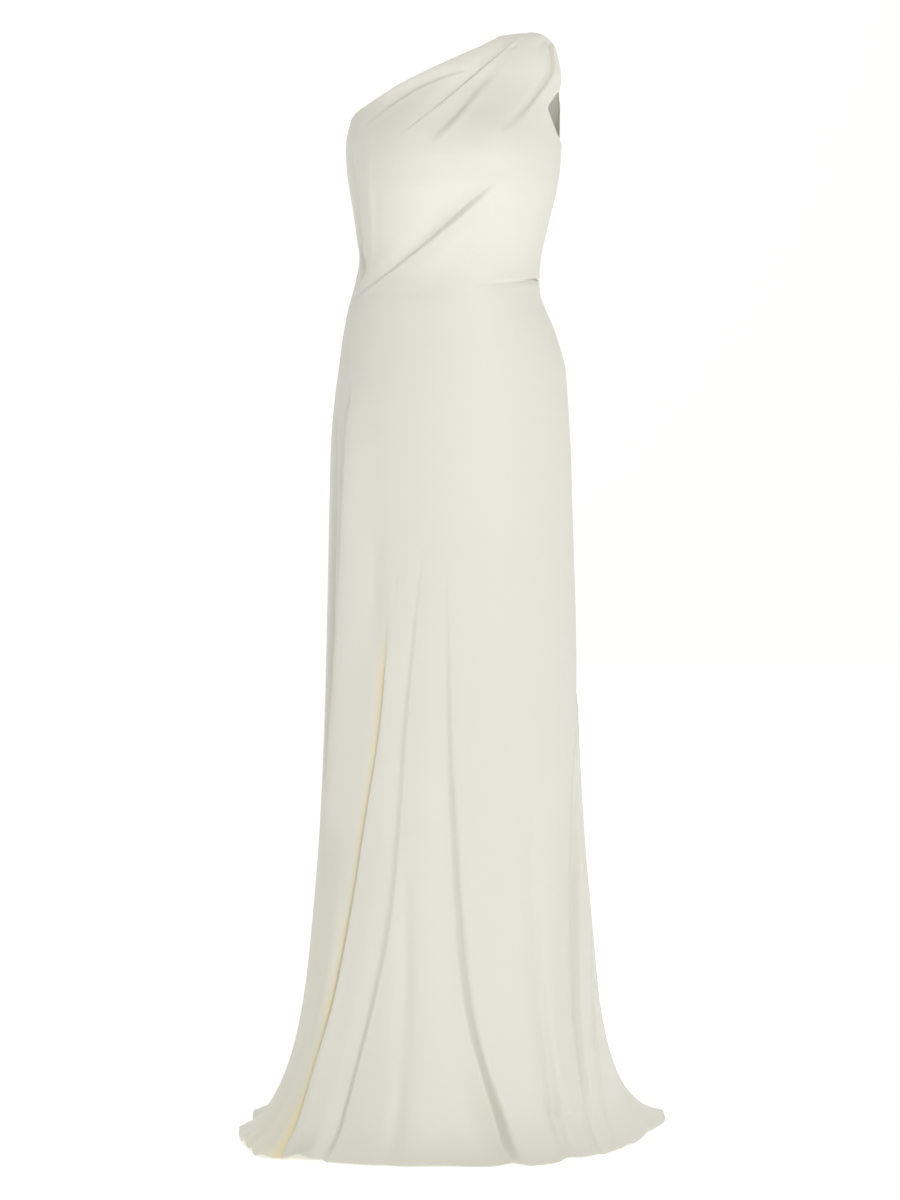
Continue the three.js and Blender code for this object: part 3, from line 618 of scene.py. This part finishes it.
def bodice_shape(bearing, h, underarms):
    """The seams at the waist, the sides and the shoulder. Above an underarm a side of the piece is a free
    edge instead, which is turned."""
    left = np.abs(across_from(bearing, bearing[:, :1], np.minimum(h, SLIM_H)))
    right = np.abs(across_from(bearing, bearing[:, -1:], np.minimum(h, SLIM_H)))
    sides = 0
    for distance, underarm in ((left, underarms[0]), (right, underarms[1])):
        free = step(underarm, underarm + 12, h)
        sides = sides + free * turned_edge(distance) + (1 - free) * seam_dimple(distance)
    low = WAIST_SEAM_SHARE * seam_dimple(h - waist_seam(bearing))
    return (sides + low) * (1 - step(SHOULDER_H - 30, SHOULDER_H - 8, h))


edges = {
    "bodice_front": (
        bodice_edge(BARE_SEAM, UNDERARM_BARE_H, NECKLINE, False),
        bodice_edge(STRAP_SEAM, UNDERARM_STRAP_H, ARMHOLE_FRONT, False),
        "neck_pleat", [108, 108], 214, (UNDERARM_BARE_H, UNDERARM_STRAP_H),
    ),
    "bodice_back": (
        bodice_edge(STRAP_SEAM, UNDERARM_STRAP_H, ARMHOLE_BACK, True),
        bodice_edge(BARE_SEAM + 360, UNDERARM_BARE_H, NECKLINE_BACK, True),
        "back_pleat", [84, 84], 180, (UNDERARM_STRAP_H, UNDERARM_BARE_H),
    ),
}
pieces = {}
for name, (from_edge, to_edge, pleat, counts, rows, underarms) in edges.items():
    bearing, h = bodice_grid(from_edge, to_edge, pleat, counts, rows)
    shape = bodice_shape(bearing, h, underarms)
    pieces[name] = cloth_piece(name + "_cloth", bearing, h, shape, all_cells(bearing), 0.0)

# %% [markdown]
# ## The skirt
# The skirt front is cut on the bias and laps over the side panel. The rows follow the hem's own line near
# the floor and the waist seam at the top, and they crowd at the hem.

# %% The skirt's rows
HIP_ROWS = 168
YOKE_ROWS = 24
levels = HIP_SEAM_H * np.linspace(0, 1, HIP_ROWS + 1) ** 1.2
levels[np.argmin(np.abs(levels - OPENING_TOP_H))] = OPENING_TOP_H
yoke = 1 - (1 - np.linspace(0, 1, YOKE_ROWS + 1)) ** 1.5


def row_heights(bearing, with_yoke=True):
    """Heights of the skirt's rows at a bearing for each row: the level, moved with the hem's end by a
    share that fades out at HEM_ZONE_H, and above the hip seam the share of the way to the waist seam."""
    level = levels[:, None]
    low = level + hem["end"](wrapped(bearing[: HIP_ROWS + 1])) * (1 - step(0, HEM_ZONE_H, level))
    if not with_yoke:
        return low
    top = waist_seam(bearing[HIP_ROWS + 1 :])
    return np.concatenate([low, HIP_SEAM_H + (top - HIP_SEAM_H) * yoke[1:, None]])


def seam_rows(value, with_yoke=True):
    """The same bearing on every row, as a column."""
    return np.full((HIP_ROWS + 1 + (YOKE_ROWS if with_yoke else 0), 1), float(value))


def opening_rows(with_yoke=True):
    """The opening line's bearing on every row, found twice because the row's height depends on it."""
    guess = opening_bearing(row_heights(seam_rows(BARE_SEAM, with_yoke), with_yoke))
    return opening_bearing(row_heights(guess, with_yoke))


# %% The skirt front
ROLL_HALF_WIDTH = 12
ROLL_SHARE = 0.45
lines = [seam_rows(BARE_SEAM), opening_rows()]
middle_heights = row_heights(seam_rows(0))
lines += [fold_line(fold)(middle_heights) for fold in ("left_fold", "main_fold", "side_groove")]
lines.append(seam_rows(STRAP_SEAM))
counts = [18, 46, 62, 84, 34]
bearing = columns_between([line[:, 0] for line in lines], counts)
h = row_heights(bearing)
from_line = across_from(bearing, lines[1], h)
inside = np.maximum(from_line, 0)
free = 1 - step(FREE_EDGE_H, OPENING_TOP_H, h)
roll = -ROLL_SHARE * opening["lift"](h) * np.exp(-((inside / ROLL_HALF_WIDTH) ** 2))
roll = roll + free * turned_edge(inside)
seams = WAIST_SEAM_SHARE * seam_dimple(h - waist_seam(bearing))
seams = seams + seam_dimple(across_from(bearing, STRAP_SEAM, h))
seams = seams + seam_dimple(across_from(bearing, BARE_SEAM, h))
seams = seams + (1 - free) * LINE_SEAM_SHARE * seam_dimple(from_line)
covers = all_cells(bearing)
covers[:HIP_ROWS, : counts[0]] = False  # there the side panel takes its place
pieces["skirt_front"] = cloth_piece("skirt_front_cloth", bearing, h, roll + seams, covers, 0.0)

# %% The side panel
RECESS_HALF_WIDTH = 11
RECESS_SHARE = 0.22
PANEL_COLUMNS = 57
line = opening_rows(False)
line_heights = row_heights(line, False)
edge = line + opening["underlap"](line_heights)
bare = seam_rows(BARE_SEAM, False)
bearing = bare + (edge - bare) * np.linspace(0, 1, PANEL_COLUMNS)
h = row_heights(bearing, False)
from_line = across_from(bearing, line, h)
behind = np.maximum(-from_line, 0)
recess = RECESS_SHARE * opening["recess"](h) * np.exp(-((behind / RECESS_HALF_WIDTH) ** 2))
seams = seam_dimple(across_from(bearing, BARE_SEAM, h)) + seam_dimple(h - HIP_SEAM_H)
seams = seams + step(FREE_EDGE_H, OPENING_TOP_H, h) * LINE_SEAM_SHARE * seam_dimple(from_line)
# Painted shade: the strip just behind the front's free edge, and the panel low down towards the hem, get a
# warmer satin colour that stands in for light bounced between the two layers and for the shade under the
# front's edge.
painted_gap_shade = (1 - step(2, 14, -from_line)) * (1 - step(640, OPENING_TOP_H, h))
painted_warm_shade = 0.2 * (1 - step(100, 600, h)) + 0.8 * painted_gap_shade
panel_push = recess + seams
pieces["skirt_side_front"] = cloth_piece(
    "skirt_side_front_cloth", bearing, h, panel_push, all_cells(bearing), painted_warm_shade
)

# %% The skirt back
lines = [seam_rows(STRAP_SEAM)]
middle_heights = row_heights(seam_rows(180))
guides = ("train_fold_1", "train_fold_2", "train_fold_3", "train_fold_4", "bare_hollow")
lines += [fold_line(fold)(middle_heights) for fold in guides]
lines.append(seam_rows(BARE_SEAM + 360))
bearing = columns_between([line[:, 0] for line in lines], [40, 32, 32, 32, 32, 32])
h = row_heights(bearing)
seams = seam_dimple(h - waist_seam(bearing)) + seam_dimple(across_from(bearing, STRAP_SEAM, h))
seams = seams + seam_dimple(across_from(bearing, BARE_SEAM + 360, h))
pieces["skirt_back"] = cloth_piece("skirt_back_cloth", bearing, h, seams, all_cells(bearing), 0.0)

# %% [markdown]
# ## Shader maths
# A finish is a sum of patterns. Written as node after node such a sum is hard to read, so this small class
# wraps a socket, and an ordinary expression on values adds the Math nodes.


# %% A class for sockets
class Value:
    """A number that changes over the surface, held by a socket of a node tree."""

    def __init__(self, tree, socket):
        self.tree, self.socket = tree, socket

    def math(self, operation, *others):
        made = add_node(self.tree, "ShaderNodeMath", {"operation": operation}, {
            i: other for i, other in enumerate((self, *others))
        })
        return Value(self.tree, made.outputs[0])

    def __add__(self, other):
        return self.math("ADD", other)

    def __mul__(self, other):
        return self.math("MULTIPLY", other)

    def __sub__(self, other):
        return self.math("SUBTRACT", other)

    def __rsub__(self, other):
        return (self * -1) + other

    __radd__, __rmul__ = __add__, __mul__


def add_node(tree, kind, settings, sockets):
    """Adds a node, sets its settings, and then gives its sockets their values or links."""
    made = tree.nodes.new(kind)
    for key, value in settings.items():
        setattr(made, key, value)
    for key, value in sockets.items():
        if isinstance(value, Value):
            value = value.socket
        if isinstance(value, bpy.types.NodeSocket):
            tree.links.new(value, made.inputs[key])
        else:
            made.inputs[key].default_value = value
    return made


# %% [markdown]
# ## Ivory satin
# Satin floats its threads over several others on the right side. That gives a smooth face with a soft,
# wide gloss and hardly any grain. Close up there are very fine ribs along the floats, and over a hand's
# width the dye and the press marks make it slightly uneven. The sheen is a constant. Behind the opening and
# low on the side panel the colour is painted warmer, a painted shade that stands in for light bounced
# between the layers.


# %% The satin's material
PALE_IVORY = (0.70, 0.695, 0.61, 1)
BRIGHT_IVORY = (0.73, 0.722, 0.64, 1)
# Painted shade colour: a warmer ivory that stands in for light bounced between layers and the shade behind
# the opening.
PAINTED_SHADE_IVORY = (0.79, 0.70, 0.46, 1)
RIB_STRETCH = (3000.0, 500.0, 1.0)  # fine ribs on the bias, one every third of a millimetre


def ivory_satin():
    """Ivory satin: two near shades mixed by a soft cloudy pattern, a warmer painted shade for bounced light
    between layers by the painted_shade_warmth attribute, roughness with the same clouds, and a bump of soft
    swells, press marks and fine ribs."""
    satin = bpy.data.materials.new("ivory_satin")
    satin.use_nodes = True
    tree = satin.node_tree
    shader = next(n for n in tree.nodes if n.type == "BSDF_PRINCIPLED")
    place = add_node(tree, "ShaderNodeTexCoord", {}, {})
    cloth = add_node(tree, "ShaderNodeUVMap", {"uv_map": "cloth"}, {})
    painted_shade_warmth = add_node(tree, "ShaderNodeAttribute", {"attribute_name": "painted_shade_warmth"}, {})

    def noise(vector, scale, detail):
        made = add_node(tree, "ShaderNodeTexNoise", {}, {"Vector": vector, "Scale": scale, "Detail": detail})
        return Value(tree, made.outputs["Fac"])

    clouds = noise(place.outputs["Object"], 5.0, 2.0)
    swells = noise(place.outputs["Object"], 9.0, 1.0)
    marks = noise(place.outputs["Object"], 22.0, 3.0)
    stretched = add_node(tree, "ShaderNodeMapping", {}, {
        "Vector": cloth.outputs["UV"], "Rotation": (0, 0, math.radians(45)), "Scale": RIB_STRETCH,
    })
    ribs = noise(stretched.outputs["Vector"], 1.0, 1.0)
    shades = add_node(tree, "ShaderNodeMix", {"data_type": "RGBA"}, {
        "Factor": clouds, "A": PALE_IVORY, "B": BRIGHT_IVORY,
    })
    # Painted shade: the warmer ivory is mixed in where the painted shade attribute says so.
    painted_shade_mix = add_node(tree, "ShaderNodeMix", {"data_type": "RGBA"}, {
        "Factor": painted_shade_warmth.outputs["Fac"], "A": shades.outputs["Result"], "B": PAINTED_SHADE_IVORY,
    })
    tree.links.new(painted_shade_mix.outputs["Result"], shader.inputs["Base Color"])
    roughness = 0.46 + 0.08 * clouds + 0.04 * ribs
    tree.links.new(roughness.socket, shader.inputs["Roughness"])
    relief = 0.0012 * swells + 0.0004 * marks + 0.00002 * ribs
    bump = add_node(tree, "ShaderNodeBump", {}, {"Height": relief, "Strength": 1.0, "Distance": 1.0})
    tree.links.new(bump.outputs["Normal"], shader.inputs["Normal"])
    shader.inputs["Sheen Weight"].default_value = 0.08
    shader.inputs["Sheen Roughness"].default_value = 0.4
    shader.inputs["Sheen Tint"].default_value = (1.0, 0.99, 0.95, 1)
    shader.inputs["Specular IOR Level"].default_value = 0.45
    shader.inputs["Subsurface Weight"].default_value = 0.3
    shader.inputs["Subsurface Radius"].default_value = (1.0, 1.0, 0.9)
    shader.inputs["Subsurface Scale"].default_value = 0.004
    return satin


satin = ivory_satin()
for piece in pieces.values():
    piece.data.materials.append(satin)
print("satin nodes:", len(satin.node_tree.nodes))

# %% [markdown]
# ## Floor and light
# The gown stands on a plain white floor that runs into a white surround. A broad soft light comes from
# the front, above and on the strap side. The surround is brightest behind the gown and above it, and a
# little brighter on the bare side, so the shading stays gentle and the folds show by their slopes.


# %% The floor and the surround
FLOOR_REACH = 30


def white_floor():
    """A level sheet that reaches 30 m to each side, at the lowest point of the gown."""
    floor_z = -ORIGIN[2] / 1000
    corners = FLOOR_REACH * np.array([[-1, -1], [1, -1], [1, 1], [-1, 1]], float)
    points = np.column_stack([corners, np.full(4, floor_z)])
    mesh = bpy.data.meshes.new("floor")
    mesh.from_pydata(points.tolist(), [], [[0, 1, 2, 3]])
    white = bpy.data.materials.new("white_floor")
    white.use_nodes = True
    tree = white.node_tree
    shader = next(n for n in tree.nodes if n.type == "BSDF_PRINCIPLED")
    spots = add_node(tree, "ShaderNodeTexNoise", {}, {"Scale": 3.0})
    shader.inputs["Base Color"].default_value = (0.93, 0.93, 0.93, 1)
    tree.links.new((0.85 + 0.1 * Value(tree, spots.outputs["Fac"])).socket, shader.inputs["Roughness"])
    shader.inputs["Emission Color"].default_value = (1, 1, 1, 1)
    shader.inputs["Emission Strength"].default_value = 0.43
    mesh.materials.append(white)
    floor = bpy.data.objects.new("floor", mesh)
    bpy.context.scene.collection.objects.link(floor)


white_floor()
world = bpy.data.worlds.new("surround")
world.use_nodes = True
surround = next(n for n in world.node_tree.nodes if n.type == "BACKGROUND")
surround.inputs["Color"].default_value = (1, 0.993, 0.97, 1)
direction = add_node(world.node_tree, "ShaderNodeTexCoord", {}, {})
sides = add_node(world.node_tree, "ShaderNodeSeparateXYZ", {}, {"Vector": direction.outputs["Generated"]})
x, y, z = (Value(world.node_tree, sides.outputs[axis]) for axis in "XYZ")
strength = 0.51 - 0.1 * x + 0.52 * y + 0.15 * z
world.node_tree.links.new(strength.socket, surround.inputs["Strength"])
bpy.context.scene.world = world


# %% The lights
def soft_light(name, place, aim, size, power):
    """A square area light at place, turned so that its -Z axis points at aim."""
    light = bpy.data.lights.new(name, "AREA")
    light.shape = "SQUARE"
    light.size = size
    light.energy = power
    lamp = bpy.data.objects.new(name, light)
    away = np.array(place, float) - np.array(aim, float)
    away /= np.linalg.norm(away)
    lamp.location = place
    lamp.rotation_euler = (math.acos(away[2]), 0, math.atan2(away[0], -away[1]))
    bpy.context.scene.collection.objects.link(lamp)


soft_light("key", place=(1.8, -5.6, 1.9), aim=(-0.1, 0, -0.75), size=2.3, power=205)

# %% [markdown]
# ## Camera
# The photograph was taken from the front at half the gown's height, so the camera is level. It stands four
# metres away with a long lens, and the gown fills the frame.

# %% The camera
camera_data = bpy.data.cameras.new("camera")
camera_data.lens = 85.71
camera_data.sensor_width = 36
camera_data.clip_end = 200
camera = bpy.data.objects.new("camera", camera_data)
camera.location = (-0.112, -4.002, -0.792)
camera.rotation_euler = (math.pi / 2, 0, 0)
bpy.context.scene.collection.objects.link(camera)
bpy.context.scene.camera = camera
bpy.context.scene.view_settings.view_transform = "Standard"

# %% [markdown]
# ## Each cloth takes its wall's place
# Every cloth rides with the gown's one body and takes the place of its plain wall, which is hidden. The table
# gives the size of each cut that shows: the width and length of the cloth it takes, and the area of the cut
# itself.

# %% The cuts
CUTS = {
    "bodice_front": ((0.46, 0.42), 0.121, "draped", ["bodice_back"]),
    "bodice_back": ((0.44, 0.42), 0.115, "draped", ["bodice_front"]),
    "skirt_front": ((0.72, 1.22), 0.54, "hung", ["bodice_front"]),
    "skirt_side_front": ((0.24, 1.12), 0.13, "hung", ["skirt_front"]),
    "skirt_back": ((1.0, 1.34), 0.70, "hung", ["bodice_back"]),
}
for name, (flat, area, held, carried_by) in CUTS.items():
    piece = pieces[name]
    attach(piece, "root")
    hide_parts(name)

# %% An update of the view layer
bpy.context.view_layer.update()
